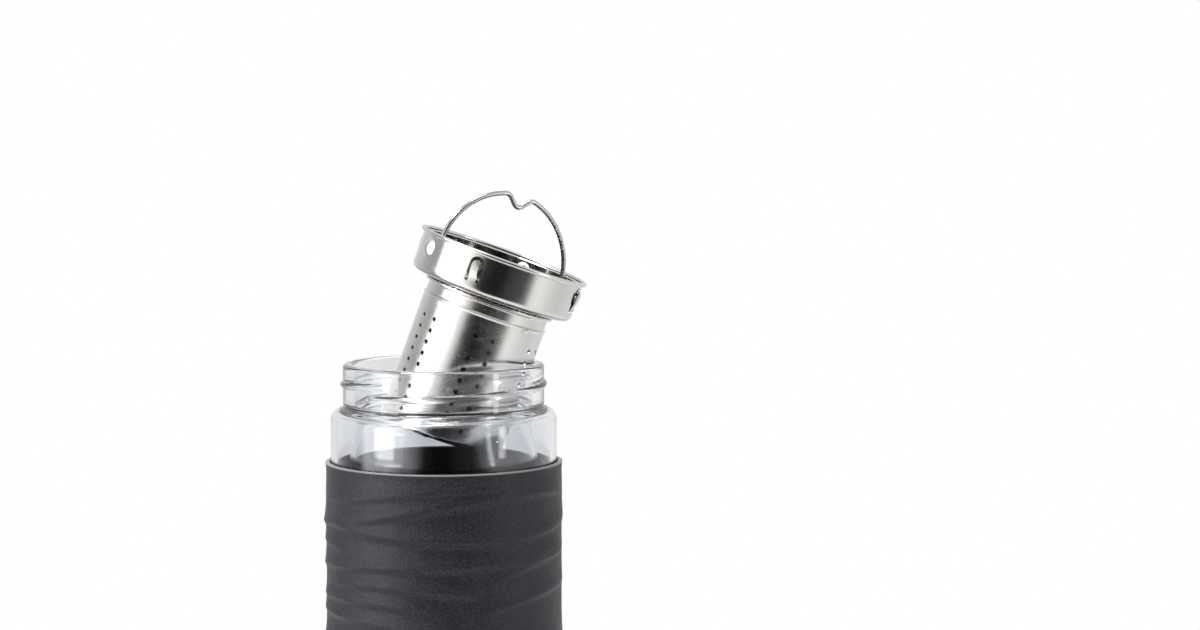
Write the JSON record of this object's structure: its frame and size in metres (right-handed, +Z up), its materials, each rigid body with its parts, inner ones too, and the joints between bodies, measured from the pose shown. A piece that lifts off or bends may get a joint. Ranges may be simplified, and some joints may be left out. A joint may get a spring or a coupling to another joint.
{
  "type": "thermal tea mug",
  "caption": "Double-walled glass tea mug in a charcoal silicone sleeve, with a screw neck and a perforated steel tea infuser lifted out by its wire bail.",
  "frame": {"origin": "middle of the sleeve's flat underside, on the axis of the glass", "axes": "+Z up along the axis of the glass, +X towards the side that the lifted infuser leans to, -Y towards the viewer"},
  "size_m": [0.0773, 0.0702, 0.2288],
  "materials": {
    "silicone": "satin charcoal silicone with fine grain",
    "clear_glass": "clear polished glass",
    "liner_glass": "clear polished glass",
    "plug": "pale silicone",
    "collar_steel": "satin stainless steel",
    "basket_steel": "satin stainless steel",
    "wire_steel": "bright stainless wire"
  },
  "bodies": {
    "sleeve": {"silicone_sleeve": "silicone"},
    "glass": {"outer_glass": "clear_glass", "inner_glass": "liner_glass", "gap_seal": "plug"},
    "infuser": {"infuser_collar": "collar_steel", "infuser_basket": "basket_steel", "basket_floor": "basket_steel"},
    "bail": {"bail_handle": "wire_steel"}
  },
  "joints": [
    {"name": "glass_pull", "type": "slide", "parent": "sleeve", "child": "glass", "axis": [0, 0, 1], "range_m": [0, 0.15]},
    {"name": "infuser_lift", "type": "slide", "parent": "glass", "child": "infuser", "axis": [0.3404, 0, 0.9403], "range_m": [-0.01, 0.07]},
    {"name": "bail_swing", "type": "hinge", "parent": "infuser", "child": "bail", "pos_m": [0.01661, 0, 0.20569], "axis": [0.8118, 0.5045, -0.2939], "range_deg": [-83, 97]}
  ]
}
